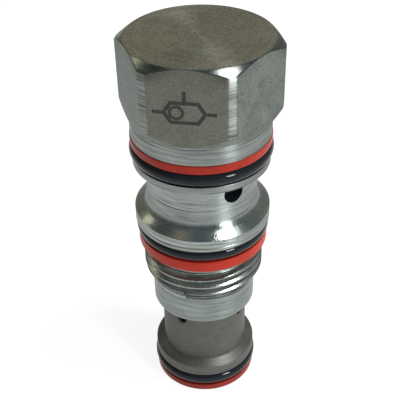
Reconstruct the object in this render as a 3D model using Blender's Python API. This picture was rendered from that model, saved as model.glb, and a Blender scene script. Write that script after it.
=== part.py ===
"""Screw-in hydraulic cartridge valve of the single-ball shuttle type.

The valve's axis is Z. The origin is on the axis at the nose end, and the wrench hexagon is at the top.
Lengths in the tables below are millimetres; every mesh is made in metres.
Angles about the axis are in degrees, counterclockwise from +X as seen from above.
"""

import math

import bmesh
import bpy

MM = 0.001
SIDES = 40                     # sides of every large turned surface
SEAL_SIDES = 32                # sides of the seals, seats and rings

# Wrench hexagon and plain stem of the body
HEX_ACROSS_FLATS = 22.2
HEX_CORNER_RADIUS = 12.46      # the corners are turned down to this radius
HEX_CORNER_ANGLE = -10.0
HEX_TOP = 64.8
HEX_TOP_CHAMFER = 0.95
HEX_TOP_FACE_RADIUS = 11.05
HEX_UNDERCUT_TOP = 54.3       # where the corners start to run in to the stem
HEX_UNDERCUT_BOTTOM = 52.55
STEM_RADIUS = 10.9

# Upper seal groove, neck of the upper port, locating flange and middle seal groove
UPPER_GROOVE = (45.8, 49.62)   # bottom and top of the groove
UPPER_GROOVE_RADIUS = 8.8
UPPER_LAND_RADIUS = 10.8
UPPER_LAND_BOTTOM = 44.6
NECK_RADIUS = 8.75
NECK_FILLET_TOP = 38.2
NECK_FILLET_RADIUS = 1.8
NECK_FILLET_TURN = 60.0        # how far the fillet turns before it runs straight to the flange's edge
FLANGE_RADIUS = 10.9
FLANGE_TOP = 35.93
MIDDLE_GROOVE = (29.54, 33.88)
MIDDLE_GROOVE_RADIUS = 8.38

# External thread, M20 x 1.5, and the thin skirt below it
THREAD_RADIUS = 9.9
THREAD_ROOT_RADIUS = 8.98
THREAD_PITCH = 1.5
THREAD_TOP = 28.75
THREAD_LAND = 0.13             # plain land between the thread and the middle groove ends this far above it
THREAD_BOTTOM = 21.9
THREAD_CREST_AT_FRONT = 24.06  # height of one crest on the -Y side
THREAD_CHAMFER = 30.0          # angle of the lead-in cone from the axis
THREAD_ROWS = 4                # mesh rows in one pitch
SKIRT_RADIUS = 8.62
SKIRT_BOTTOM = 16.8
SKIRT_CHAMFER = 0.25

# Bore of the body
BODY_BORE_RADIUS = 7.45
BODY_BORE_TOP = 31.6
BODY_PASSAGE_RADIUS = 3.0
BODY_PASSAGE_TOP = 44.3
DRILL_POINT_HEIGHT = 1.7
WIRE_HEIGHT = 19.4
WIRE_RADIUS = 0.45
WIRE_CENTRE_RADIUS = 7.3
WIRE_GROOVE_RADIUS = 7.9
WIRE_GROOVE_HALF_WIDTH = 0.6

# Side ports
UPPER_PORT_HEIGHT = 42.45
UPPER_PORT_DIAMETER = 3.4
UPPER_PORT_ANGLE = -57.0
LOWER_PORT_HEIGHT = 15.5
LOWER_PORT_DIAMETER = 2.0
LOWER_PORT_ANGLE = -123.5
LOWER_PORT_COUNT = 4

# Floating nose sleeve
SLEEVE_TOP = 31.2
SLEEVE_RADIUS = 7.25
SLEEVE_SEAL_GROOVE = (26.6, 29.9)
SLEEVE_SEAL_GROOVE_RADIUS = 5.9
SLEEVE_WIRE_GROOVE_RADIUS = 6.7
SLEEVE_SHOULDER = 6.62         # inner end of the sloping shoulder above the nose flange
SHOULDER_FILLET = 0.15
NOSE_FLANGE_RADIUS = 8.76
NOSE_FLANGE = (4.03, 5.93)
NOSE_GROOVE_BOTTOM = 0.2
NOSE_GROOVE_RADIUS = 6.48
NOSE_LIP_RADIUS = 8.3
NOSE_MOUTH_RADIUS = 5.2

# Ball chamber, seats and ball
CHAMBER = (11.3, 20.7)
CHAMBER_RADIUS = 4.25
SEAT_BORE_RADIUS = 4.85        # bore of the sleeve that holds each seat
SEAT_RADIUS = 4.75
SEAT_HOLE_RADIUS = 2.6
SEAT_LENGTH = 4.6
SEAT_GROOVE_RADIUS = 3.85
SEAT_GROOVE_START = 1.3        # from the seat's sealing end
SEAT_GROOVE_WIDTH = 1.3
SEAT_RING_THICKNESS = 0.7
SEAT_RING_INNER_RADIUS = 4.0
SEAT_RING_OPENING = 50.0       # gap of an open ring, as an angle
WIRE_OPENING = 24.0
SEAT_EDGE = 0.25               # chamfer of a seat's bore, on which the ball seals
RING_GROOVE_RADIUS = 5.35
BALL_RADIUS = 3.97
GAP = 0.08                     # left between pieces that touch

# Seals
UPPER_O_RING = (10.05, 47.0, 1.18)      # centre radius, height, section radius
MIDDLE_O_RING = (9.63, 32.69, 1.17)
NOSE_O_RING = (7.8, 2.77, 1.24)
SLEEVE_O_RING = (6.66, 29.05, 0.71)
SEAT_O_RING = (4.33, 0.42)               # centre radius, section radius
UPPER_BACKUP = (9.1, 11.0, 48.22, 49.57)      # inner radius, outer radius, bottom, top
MIDDLE_BACKUP = (8.85, 10.55, 29.6, 31.48)
NOSE_BACKUP = (6.95, 8.76, 0.26, 1.49)
SLEEVE_BACKUP = (6.0, 7.35, 26.7, 28.24)


def clear_scene():
    for old in list(bpy.data.objects):
        bpy.data.objects.remove(old, do_unlink=True)


def material(name, colour, roughness, metallic):
    """A Principled material of one colour."""
    made = bpy.data.materials.new(name)
    made.use_nodes = True
    shader = made.node_tree.nodes["Principled BSDF"]
    shader.inputs["Base Color"].default_value = (*colour, 1.0)
    shader.inputs["Roughness"].default_value = roughness
    shader.inputs["Metallic"].default_value = metallic
    return made


def add_object(name, mesh, finish, parent=None):
    """Links a mesh, already in the valve's frame, as one named sub-part."""
    mesh.set_sharp_from_angle(angle=math.radians(35))
    mesh.materials.append(finish)
    made = bpy.data.objects.new(name, mesh)
    bpy.context.scene.collection.objects.link(made)
    made.parent = parent
    return made


def add_pivot(name, height, parent=None):
    """An empty on the valve's axis, which carries a body that moves."""
    pivot = bpy.data.objects.new(name, None)
    pivot.location = (0.0, 0.0, height * MM)
    pivot.parent = parent
    bpy.context.scene.collection.objects.link(pivot)
    return pivot


def mesh_from(bm, name, base=0.0):
    """Finishes a bmesh whose heights count from the valve's origin; base is its pivot's height."""
    for vert in bm.verts:
        vert.co.z -= base * MM
    for face in bm.faces:
        face.smooth = True
    mesh = bpy.data.meshes.new(name)
    bm.to_mesh(mesh)
    bm.free()
    return mesh


def add_ring(bm, radius, height, sides=SIDES):
    """One circle of vertices, or a single vertex where the radius is zero."""
    if radius == 0.0:
        return [bm.verts.new((0.0, 0.0, height * MM))]
    turns = [2.0 * math.pi * i / sides for i in range(sides)]
    return [bm.verts.new((radius * MM * math.cos(t), radius * MM * math.sin(t), height * MM)) for t in turns]


def join_rings(bm, upper, lower):
    """Faces between two circles, facing out where the outline runs down an outer side."""
    sides = max(len(upper), len(lower))
    for i in range(sides):
        after = (i + 1) % sides
        if len(upper) == 1:
            bm.faces.new((upper[0], lower[i], lower[after]))
        elif len(lower) == 1:
            bm.faces.new((upper[i], lower[0], upper[after]))
        else:
            bm.faces.new((upper[i], lower[i], lower[after], upper[after]))


def turned_rings(bm, rings, closed=False):
    pairs = list(zip(rings, rings[1:]))
    if closed:
        pairs.append((rings[-1], rings[0]))
    for upper, lower in pairs:
        join_rings(bm, upper, lower)


def turned_mesh(name, outline, sides=SIDES, base=0.0):
    """A closed ring-shaped piece: the outline runs down its outer side and back up its bore."""
    bm = bmesh.new()
    turned_rings(bm, [add_ring(bm, r, z, sides) for r, z in outline], closed=True)
    return mesh_from(bm, name, base)


def torus_outline(centre_radius, height, section, points=10):
    """A round section, counted clockwise from its top, so that it runs down the outer side."""
    turns = [2.0 * math.pi * i / points for i in range(points)]
    return [(centre_radius + section * math.sin(t), height + section * math.cos(t)) for t in turns]


def backup_outline(inner, outer, bottom, top, chamfer=0.12):
    """A flat-sided ring with its outer edges eased."""
    return [(inner, top), (outer - chamfer, top), (outer, top - chamfer),
            (outer, bottom + chamfer), (outer - chamfer, bottom), (inner, bottom)]


def arc(centre, radius, start, stop, steps):
    """Points (radius, height) on an arc about centre, from start to stop in degrees."""
    turns = [math.radians(start + (stop - start) * i / steps) for i in range(steps + 1)]
    return [(centre[0] + radius * math.cos(t), centre[1] + radius * math.sin(t)) for t in turns]


def thread_radius(height, row):
    """Radius of a thread row: root, flank, crest, flank in turn, run out above and chamfered below."""
    crest_share = (0.0, 0.45, 1.0, 0.45)[row % THREAD_ROWS]
    run_out = max(0.0, min(1.0, (THREAD_TOP - height) / (0.5 * THREAD_PITCH)))
    full = THREAD_ROOT_RADIUS + (THREAD_RADIUS - THREAD_ROOT_RADIUS) * crest_share * run_out
    lead_in = SKIRT_RADIUS + (height - THREAD_BOTTOM) * math.tan(math.radians(THREAD_CHAMFER))
    return min(full, lead_in)


def add_thread(bm):
    """A right-hand helical surface between two flat circles. Returns its top and bottom circles."""
    points = {}
    front = 270.0 / 360.0
    crest = 0.5
    start = ((THREAD_CREST_AT_FRONT - THREAD_BOTTOM) / THREAD_PITCH - crest - front) % 1.0

    def point(column, row):
        rise = row / THREAD_ROWS + column / SIDES + start
        height = min(max(THREAD_BOTTOM + THREAD_PITCH * rise, THREAD_BOTTOM), THREAD_TOP)
        key = (column % SIDES, round(height, 6))
        if key not in points:
            radius = thread_radius(height, row) * MM
            turn = 2.0 * math.pi * column / SIDES
            points[key] = bm.verts.new((radius * math.cos(turn), radius * math.sin(turn), height * MM))
        return points[key]

    last_row = math.ceil((THREAD_TOP - THREAD_BOTTOM) / THREAD_PITCH * THREAD_ROWS)
    for column in range(SIDES):
        for row in range(-2 * THREAD_ROWS, last_row):
            corners = (point(column, row), point(column + 1, row),
                       point(column + 1, row + 1), point(column, row + 1))
            corners = tuple(dict.fromkeys(corners))
            if len(corners) > 2:
                bm.faces.new(corners)
    ends = (THREAD_TOP, THREAD_BOTTOM)
    return [[points[(i, round(height, 6))] for i in range(SIDES)] for height in ends]


def hex_body_mesh():
    """The turned body with its thread and its blind bore, before the hexagon and the ports are cut."""
    bm = bmesh.new()
    above = [
        (0.0, HEX_TOP), (HEX_TOP_FACE_RADIUS, HEX_TOP),
        (HEX_CORNER_RADIUS, HEX_TOP - HEX_TOP_CHAMFER), (HEX_CORNER_RADIUS, HEX_UNDERCUT_TOP),
        (STEM_RADIUS, HEX_UNDERCUT_BOTTOM), (STEM_RADIUS, UPPER_GROOVE[1]),
        (UPPER_GROOVE_RADIUS, UPPER_GROOVE[1]), (UPPER_GROOVE_RADIUS, UPPER_GROOVE[0]),
        (UPPER_LAND_RADIUS, UPPER_GROOVE[0]), (UPPER_LAND_RADIUS, UPPER_LAND_BOTTOM),
        (NECK_RADIUS, UPPER_LAND_BOTTOM),
    ]
    fillet_centre = (NECK_RADIUS + NECK_FILLET_RADIUS, NECK_FILLET_TOP)
    above += arc(fillet_centre, NECK_FILLET_RADIUS, 180.0, 180.0 + NECK_FILLET_TURN, 4)
    above += [
        (FLANGE_RADIUS, FLANGE_TOP), (FLANGE_RADIUS, MIDDLE_GROOVE[1]),
        (MIDDLE_GROOVE_RADIUS, MIDDLE_GROOVE[1]), (MIDDLE_GROOVE_RADIUS, MIDDLE_GROOVE[0]),
        (THREAD_RADIUS, MIDDLE_GROOVE[0]), (THREAD_RADIUS, THREAD_TOP + THREAD_LAND),
    ]
    below = [
        (SKIRT_RADIUS, SKIRT_BOTTOM + SKIRT_CHAMFER),
        (SKIRT_RADIUS - SKIRT_CHAMFER, SKIRT_BOTTOM), (BODY_BORE_RADIUS, SKIRT_BOTTOM),
        (BODY_BORE_RADIUS, WIRE_HEIGHT - WIRE_GROOVE_HALF_WIDTH),
        (WIRE_GROOVE_RADIUS, WIRE_HEIGHT - WIRE_GROOVE_HALF_WIDTH),
        (WIRE_GROOVE_RADIUS, WIRE_HEIGHT + WIRE_GROOVE_HALF_WIDTH),
        (BODY_BORE_RADIUS, WIRE_HEIGHT + WIRE_GROOVE_HALF_WIDTH),
        (BODY_BORE_RADIUS, BODY_BORE_TOP), (BODY_PASSAGE_RADIUS, BODY_BORE_TOP),
        (BODY_PASSAGE_RADIUS, BODY_PASSAGE_TOP), (0.0, BODY_PASSAGE_TOP + DRILL_POINT_HEIGHT),
    ]
    thread_top, thread_bottom = add_thread(bm)
    turned_rings(bm, [add_ring(bm, r, z) for r, z in above] + [thread_top])
    turned_rings(bm, [thread_bottom] + [add_ring(bm, r, z) for r, z in below])
    return mesh_from(bm, "hex_body")


def add_cutter(name, mesh, location, rotation):
    """A hidden solid that shapes another object through a Boolean modifier."""
    cutter = bpy.data.objects.new(name, mesh)
    cutter.location = location
    cutter.rotation_euler = rotation
    cutter.hide_render = True
    cutter.display_type = "WIRE"
    bpy.context.scene.collection.objects.link(cutter)
    return cutter


def prism_mesh(name, radius, length, sides):
    """A straight bar along Z, centred on its origin."""
    bm = bmesh.new()
    bmesh.ops.create_cone(bm, cap_ends=True, segments=sides, radius1=radius * MM,
                          radius2=radius * MM, depth=length * MM)
    mesh = bpy.data.meshes.new(name)
    bm.to_mesh(mesh)
    bm.free()
    return mesh


def cut(target, cutter, operation="DIFFERENCE"):
    boolean = target.modifiers.new(cutter.name, "BOOLEAN")
    boolean.operation = operation
    boolean.solver = "EXACT"
    boolean.object = cutter


def drill(target, name, diameter, height, angle, length=30.0):
    """A straight hole through the axis, level, pointing along angle."""
    bar = prism_mesh(name, diameter / 2.0, length, 16)
    turn = (math.pi / 2.0, 0.0, math.radians(angle + 90.0))
    cut(target, add_cutter(name, bar, (0.0, 0.0, height * MM), turn))


def build_hex_body(finish):
    body = add_object("hex_body", hex_body_mesh(), finish)
    corner = HEX_ACROSS_FLATS / 2.0 / math.cos(math.pi / 6.0)
    bar = prism_mesh("hexagon_bar", corner, 3.0 * HEX_TOP, 6)
    first_vertex = math.degrees(math.atan2(bar.vertices[0].co.y, bar.vertices[0].co.x))
    turn = (0.0, 0.0, math.radians(HEX_CORNER_ANGLE - first_vertex))
    cut(body, add_cutter("hexagon_bar", bar, (0.0, 0.0, 0.0), turn), "INTERSECT")
    drill(body, "upper_port_drill", UPPER_PORT_DIAMETER, UPPER_PORT_HEIGHT, UPPER_PORT_ANGLE)


def sleeve_outline():
    """Down the outside of the nose sleeve and back up its bore."""
    seat_room = SEAT_LENGTH + GAP
    ring_room = SEAT_RING_THICKNESS + 0.2
    top_ring = CHAMBER[1] + seat_room
    low_ring = CHAMBER[0] - seat_room
    return [
        (SEAT_BORE_RADIUS, SLEEVE_TOP), (SLEEVE_RADIUS - 0.4, SLEEVE_TOP), (SLEEVE_RADIUS, SLEEVE_TOP - 0.4),
        (SLEEVE_RADIUS, SLEEVE_SEAL_GROOVE[1]), (SLEEVE_SEAL_GROOVE_RADIUS, SLEEVE_SEAL_GROOVE[1]),
        (SLEEVE_SEAL_GROOVE_RADIUS, SLEEVE_SEAL_GROOVE[0]), (SLEEVE_RADIUS, SLEEVE_SEAL_GROOVE[0]),
        (SLEEVE_RADIUS, WIRE_HEIGHT + WIRE_GROOVE_HALF_WIDTH),
        (SLEEVE_WIRE_GROOVE_RADIUS, WIRE_HEIGHT + WIRE_GROOVE_HALF_WIDTH),
        (SLEEVE_WIRE_GROOVE_RADIUS, WIRE_HEIGHT - WIRE_GROOVE_HALF_WIDTH),
        (SLEEVE_RADIUS, WIRE_HEIGHT - WIRE_GROOVE_HALF_WIDTH),
        (SLEEVE_RADIUS, SLEEVE_SHOULDER + SHOULDER_FILLET),
        (SLEEVE_RADIUS + SHOULDER_FILLET, SLEEVE_SHOULDER),
        (NOSE_FLANGE_RADIUS, NOSE_FLANGE[1]), (NOSE_FLANGE_RADIUS, NOSE_FLANGE[0]),
        (NOSE_GROOVE_RADIUS, NOSE_FLANGE[0]), (NOSE_GROOVE_RADIUS, NOSE_GROOVE_BOTTOM),
        (NOSE_LIP_RADIUS, NOSE_GROOVE_BOTTOM), (NOSE_LIP_RADIUS, 0.0), (NOSE_MOUTH_RADIUS, 0.0),
        (SEAT_BORE_RADIUS, NOSE_MOUTH_RADIUS - SEAT_BORE_RADIUS),
        (SEAT_BORE_RADIUS, low_ring - ring_room), (RING_GROOVE_RADIUS, low_ring - ring_room),
        (RING_GROOVE_RADIUS, low_ring), (SEAT_BORE_RADIUS, low_ring),
        (SEAT_BORE_RADIUS, CHAMBER[0]), (CHAMBER_RADIUS, CHAMBER[0]),
        (CHAMBER_RADIUS, CHAMBER[1]), (SEAT_BORE_RADIUS, CHAMBER[1]),
        (SEAT_BORE_RADIUS, top_ring), (RING_GROOVE_RADIUS, top_ring),
        (RING_GROOVE_RADIUS, top_ring + ring_room), (SEAT_BORE_RADIUS, top_ring + ring_room),
    ]


def build_sleeve(finish, pivot):
    sleeve = add_object("nose_sleeve", turned_mesh("nose_sleeve", sleeve_outline()), finish, pivot)
    for i in range(LOWER_PORT_COUNT // 2):
        angle = LOWER_PORT_ANGLE + 360.0 / LOWER_PORT_COUNT * i
        drill(sleeve, f"lower_port_drill_{i + 1}", LOWER_PORT_DIAMETER, LOWER_PORT_HEIGHT, angle)


def seat_outline(edge, away):
    """A seat whose sealing edge is at height edge; away is +1 where its length runs up, -1 down."""
    groove_start = SEAT_GROOVE_START
    groove_end = groove_start + SEAT_GROOVE_WIDTH
    outline = [
        (SEAT_HOLE_RADIUS + SEAT_EDGE, GAP), (SEAT_RADIUS, GAP),
        (SEAT_RADIUS, groove_start), (SEAT_GROOVE_RADIUS, groove_start),
        (SEAT_GROOVE_RADIUS, groove_end), (SEAT_RADIUS, groove_end),
        (SEAT_RADIUS, SEAT_LENGTH - GAP), (SEAT_HOLE_RADIUS, SEAT_LENGTH - GAP),
        (SEAT_HOLE_RADIUS, GAP + SEAT_EDGE),
    ]
    placed = [(radius, edge + away * along) for radius, along in outline]
    return placed if away < 0 else placed[::-1]


def split_ring_mesh(name, section, opening, sides, base=0.0):
    """A ring of the given section with an open gap, as an angle in degrees, and flat ends."""
    bm = bmesh.new()
    stations = []
    for i in range(sides + 1):
        turn = math.radians(opening / 2.0 + (360.0 - opening) * i / sides)
        spot = [(r * MM * math.cos(turn), r * MM * math.sin(turn), z * MM) for r, z in section]
        stations.append([bm.verts.new(co) for co in spot])
    count = len(section)
    for before, after in zip(stations, stations[1:]):
        for j in range(count):
            k = (j + 1) % count
            bm.faces.new((before[j], before[k], after[k], after[j]))
    bm.faces.new(stations[0][::-1])
    bm.faces.new(stations[-1])
    return mesh_from(bm, name, base)


def ring_section(inner, outer, bottom, top):
    return [(inner, top), (outer, top), (outer, bottom), (inner, bottom)]


def build_seats(steel, spring_steel, rubber, pivot):
    """Both seats, the seal round each, and the ring that keeps each one in the sleeve."""
    ends = {"upper": (CHAMBER[1], 1), "lower": (CHAMBER[0], -1)}
    for end, (edge, away) in ends.items():
        seat = turned_mesh(f"{end}_seat", seat_outline(edge, away), SEAL_SIDES)
        add_object(f"{end}_seat", seat, steel, pivot)
        seal_height = edge + away * (SEAT_GROOVE_START + SEAT_GROOVE_WIDTH / 2.0)
        seal = torus_outline(SEAT_O_RING[0], seal_height, SEAT_O_RING[1], 6)
        add_object(f"{end}_seat_o_ring", turned_mesh(f"{end}_seat_o_ring", seal, SEAL_SIDES), rubber, pivot)
        ring_edges = [edge + away * (SEAT_LENGTH + GAP + gap) for gap in (0.1, 0.1 + SEAT_RING_THICKNESS)]
        outer = RING_GROOVE_RADIUS - 0.1
        section = ring_section(SEAT_RING_INNER_RADIUS, outer, min(ring_edges), max(ring_edges))
        name = f"{end}_seat_retaining_ring"
        add_object(name, split_ring_mesh(name, section, SEAT_RING_OPENING, 24), spring_steel, pivot)


def build_seals(rubber, red, pivot):
    """O-rings and backup rings, on the body and on the sleeve."""
    for name, ring, parent in (("upper", UPPER_O_RING, None), ("middle", MIDDLE_O_RING, None),
                               ("nose", NOSE_O_RING, pivot), ("sleeve", SLEEVE_O_RING, pivot)):
        points = 6 if name == "sleeve" else 8
        mesh = turned_mesh(f"{name}_o_ring", torus_outline(*ring, points), SEAL_SIDES)
        add_object(f"{name}_o_ring", mesh, rubber, parent)
    for name, ring, parent in (("upper", UPPER_BACKUP, None), ("middle", MIDDLE_BACKUP, None),
                               ("nose", NOSE_BACKUP, pivot), ("sleeve", SLEEVE_BACKUP, pivot)):
        mesh = turned_mesh(f"{name}_backup_ring", backup_outline(*ring), SEAL_SIDES)
        add_object(f"{name}_backup_ring", mesh, red, parent)


def build_retaining_wire(finish):
    """The round wire ring that holds the sleeve in the skirt."""
    section = torus_outline(WIRE_CENTRE_RADIUS, WIRE_HEIGHT, WIRE_RADIUS, 6)
    wire = split_ring_mesh("sleeve_retaining_wire", section, WIRE_OPENING, 32)
    add_object("sleeve_retaining_wire", wire, finish)


def build_ball(finish, sleeve_pivot):
    """The shuttle ball, resting on the lower seat. Its pivot is its centre."""
    seat_edge = CHAMBER[0] - GAP
    rest = seat_edge + math.sqrt(BALL_RADIUS ** 2 - (SEAT_HOLE_RADIUS + SEAT_EDGE) ** 2) + GAP
    pivot = add_pivot("ball_pivot", rest, sleeve_pivot)
    bm = bmesh.new()
    bmesh.ops.create_uvsphere(bm, u_segments=16, v_segments=10, radius=BALL_RADIUS * MM)
    add_object("shuttle_ball", mesh_from(bm, "shuttle_ball"), finish, pivot)


def build_valve():
    zinc = material("zinc_plated_steel", (0.36, 0.39, 0.36), 0.36, 1.0)
    hard_steel = material("hardened_steel", (0.22, 0.20, 0.17), 0.38, 1.0)
    bright_steel = material("ground_steel", (0.55, 0.55, 0.54), 0.15, 1.0)
    spring_steel = material("spring_steel", (0.30, 0.30, 0.30), 0.35, 1.0)
    rubber = material("black_rubber", (0.015, 0.017, 0.020), 0.35, 0.0)
    red = material("red_backup_plastic", (0.50, 0.05, 0.03), 0.45, 0.0)
    clear_scene()
    build_hex_body(zinc)
    sleeve_pivot = add_pivot("sleeve_pivot", 0.0)
    build_sleeve(hard_steel, sleeve_pivot)
    build_seals(rubber, red, sleeve_pivot)
    build_seats(hard_steel, spring_steel, rubber, sleeve_pivot)
    build_retaining_wire(spring_steel)
    build_ball(bright_steel, sleeve_pivot)


build_valve()
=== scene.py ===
"""Finished look of a screw-in hydraulic cartridge valve.

Fine turned surfaces stand in for the faceted CAD solids, in the same frame: the valve's axis is Z, and
its nose end is at the origin. Lengths are millimetres until a mesh is made. Angles about the axis are
degrees, counterclockwise from +X as seen from above.
"""

import math

import bmesh
import bpy
from mathutils import Matrix, Vector


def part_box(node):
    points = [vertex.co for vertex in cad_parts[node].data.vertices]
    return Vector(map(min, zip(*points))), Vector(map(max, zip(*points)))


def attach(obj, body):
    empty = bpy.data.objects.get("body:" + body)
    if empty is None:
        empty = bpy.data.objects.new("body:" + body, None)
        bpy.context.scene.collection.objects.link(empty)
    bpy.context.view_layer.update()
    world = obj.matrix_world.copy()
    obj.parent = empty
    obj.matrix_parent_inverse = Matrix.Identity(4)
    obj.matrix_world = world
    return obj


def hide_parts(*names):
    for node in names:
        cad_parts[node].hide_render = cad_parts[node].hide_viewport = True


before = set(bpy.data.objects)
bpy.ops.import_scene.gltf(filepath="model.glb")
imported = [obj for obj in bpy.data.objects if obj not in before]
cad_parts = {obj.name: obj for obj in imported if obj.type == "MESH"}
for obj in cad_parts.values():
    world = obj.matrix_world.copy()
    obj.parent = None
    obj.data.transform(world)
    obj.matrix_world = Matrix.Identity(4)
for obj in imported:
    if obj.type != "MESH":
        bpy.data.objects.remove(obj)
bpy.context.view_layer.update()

MM = 0.001
SIDES = 360                    # sides of the two large turned pieces
RING_SIDES = 192               # sides of seals, seats and rings
BALL_SIDES = 96
BALL_ROWS = 64


def low(node):
    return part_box(node)[0].z / MM


def high(node):
    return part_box(node)[1].z / MM


def outer_radius(node):
    lowest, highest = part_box(node)
    return (highest.x - lowest.x) / 2.0 / MM


# Hexagon and stem
HEX_TOP = high("hex_body")
HEX_HALF_FLATS = 11.1
HEX_FLAT_ANGLE = 20.0
MARKED_FLAT_ANGLE = 260.0      # this flat was ground before marking, so its edges are crisp
WORN_EDGE = 1.0                # the other flats are rubbed smooth this far in from their edges
LAND_HALF_ANGLE = 3.4          # the corners stay round this far to each side
HEX_CORNER_RADIUS = HEX_HALF_FLATS / math.cos(math.radians(30.0 - LAND_HALF_ANGLE))
TOP_FACE_RINGS = (2.0, 4.0, 6.0, 8.0, 10.0, 10.9)
TOP_EASED_RING = (11.0, HEX_TOP - 0.008)
TOP_FACE_RADIUS = 11.05
TOP_EDGE_DROP = 0.03           # how far the rim of the top face lies below it
TOP_CHAMFER = 0.95
UNDERCUT_TOP = 54.3
UNDERCUT_BOTTOM = 52.55
UNDERCUT_EASE = 0.15           # the cone has run into the stem this far below its end
STEM_RADIUS = 10.9
STEM_LINE = UNDERCUT_BOTTOM - 0.22   # a fine tool mark round the stem
EDGE = 0.05                    # width of an eased edge

# Neck, flange and seal grooves: each groove is as long as its two seals
UPPER_GROOVE = (low("upper_o_ring") - 0.02, high("upper_backup_ring") + 0.05)
UPPER_GROOVE_RADIUS = 8.8
UPPER_LAND_RADIUS = 10.8
UPPER_LAND_BOTTOM = 44.6
NECK_RADIUS = 8.75
NECK_LINE = 39.95              # a fine tool mark round the neck
NECK_FILLET_TOP = 38.2
NECK_FILLET_RADIUS = 1.8
NECK_FILLET_TURN = 60.0
FLANGE_RADIUS = 10.9
FLANGE_TOP = 35.93
FLANGE_LINES = ((35.32, 0.03), (34.48, 0.08))   # height and depth
MIDDLE_GROOVE = (low("middle_backup_ring") - 0.05, high("middle_o_ring") + 0.02)
MIDDLE_GROOVE_RADIUS = 8.38

# Thread and skirt
THREAD_RADIUS = 9.9
THREAD_ROOT_RADIUS = 8.98
THREAD_PITCH = 1.5
THREAD_TOP = 28.75
THREAD_LAND = 0.13
THREAD_BOTTOM = 21.9
THREAD_ROWS = 24
THREAD_CREST_AT_FRONT = 24.06
THREAD_CHAMFER = 30.0
THREAD_START = 251.0           # the angle where the thread runs in from its chamfer
THREAD_ROOT_FLAT = 0.13        # shares of half a pitch that a root's floor and a flank take
THREAD_FLANK = 0.71
THREAD_RUN_OUT = 0.35          # the thread fades into its land over this share of a pitch
RUN_IN_RISE = 0.4              # the chamfer starts this much higher at the run-in
RUN_IN_TURN = 100.0            # and this many degrees before it no higher at all
BURR_HEIGHT = 0.14             # a burr that the thread's end left at the run-in
BURR_HALF_ANGLE = 1.1
BURR_TOP = THREAD_CREST_AT_FRONT + 0.9
SKIRT_RADIUS = 8.62
SKIRT_BOTTOM = low("hex_body")
SKIRT_CHAMFER = 0.25

# Bore of the body
BODY_BORE_RADIUS = 7.45
BODY_BORE_TOP = 31.6
BODY_PASSAGE_RADIUS = 3.0
BODY_PASSAGE_TOP = 44.3
WIRE_HEIGHT = (low("sleeve_retaining_wire") + high("sleeve_retaining_wire")) / 2.0
WIRE_GROOVE = (WIRE_HEIGHT - 0.6, WIRE_HEIGHT + 0.6)
WIRE_GROOVE_RADIUS = 7.9
WIRE_RADIUS = 0.45
WIRE_CENTRE_RADIUS = 7.3
WIRE_OPENING = 24.0

# Side ports: height, diameter, angle
UPPER_PORT = (42.45, 3.4, -57.0)
LOWER_PORTS = ((15.5, 2.0, -123.5), (15.5, 2.0, -33.5))

# Nose sleeve
SLEEVE_TOP = high("nose_sleeve")
SLEEVE_RADIUS = 7.25
SLEEVE_SHOULDER = 6.62
SLEEVE_SEAL_GROOVE = (26.6, 29.9)
SLEEVE_SEAL_GROOVE_RADIUS = 5.9
SLEEVE_WIRE_GROOVE_RADIUS = 6.7
NOSE_FLANGE_RADIUS = 8.76
NOSE_FLANGE = (4.03, 5.93)
NOSE_GROOVE_RADIUS = 6.48
NOSE_LIP_RADIUS = 8.3
NOSE_LIP = 0.2
NOSE_MOUTH_RADIUS = 5.2
CHAMBER = (11.3, 20.7)
CHAMBER_RADIUS = 4.25

# Seats, their rings and the ball
SEAT_BORE_RADIUS = 4.85
RING_GROOVE_RADIUS = 5.35
SEAT_HOLE_RADIUS = 2.6
SEAT_EDGE = 0.25
SEAT_GROOVE_RADIUS = 3.85
SEAT_GROOVE_WIDTH = 1.3
SEAT_RING_INNER_RADIUS = 4.0
SEAT_RING_OPENING = 50.0

# Etched symbol on the front flat, across the flat and up it from its centre
SYMBOL_CENTRE = (-0.35, 58.3)
SYMBOL_LINE = 0.55
SYMBOL_PROUD = 0.012


# ---------------------------------------------------------------- mesh helpers

def rounded(corners, steps=4):
    """Turns corners (radius, height, fillet) into points (radius, height), and each corner into an arc."""
    points = []
    count = len(corners)
    for i, (radius, height, fillet) in enumerate(corners):
        here = Vector((radius, height))
        before = Vector(corners[i - 1][:2]) - here
        after = Vector(corners[(i + 1) % count][:2]) - here
        if fillet == 0.0 or before.length == 0.0 or after.length == 0.0:
            points.append((radius, height))
            continue
        half = before.angle(after) / 2.0
        reach = min(fillet / math.tan(half), 0.45 * before.length, 0.45 * after.length)
        start = here + before.normalized() * reach
        end = here + after.normalized() * reach
        for step in range(steps + 1):
            share = step / steps
            point = start * (1 - share) ** 2 + here * 2 * share * (1 - share) + end * share ** 2
            points.append((point.x, point.y))
    return points


def subdivided(points, longest):
    """Adds points on long straight runs, so that no run is longer than longest."""
    dense = []
    for (r0, z0), (r1, z1) in zip(points, points[1:]):
        steps = max(1, math.ceil(math.hypot(r1 - r0, z1 - z0) / longest))
        dense += [(r0 + (r1 - r0) * i / steps, z0 + (z1 - z0) * i / steps) for i in range(steps)]
    dense.append(points[-1])
    return dense


def add_ring(bm, radius, height, sides):
    """A circle of vertices, or one vertex where the radius is zero."""
    if radius == 0.0:
        return [bm.verts.new((0.0, 0.0, height * MM))]
    return shaped_ring(bm, lambda turn: (radius, height), sides)


def shaped_ring(bm, outline, sides):
    """A circle of vertices whose radius and height depend on the angle, in degrees."""
    ring = []
    for i in range(sides):
        turn = 360.0 * i / sides
        radius, height = outline(turn)
        across = (math.cos(math.radians(turn)), math.sin(math.radians(turn)))
        ring.append(bm.verts.new((radius * MM * across[0], radius * MM * across[1], height * MM)))
    return ring


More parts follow.
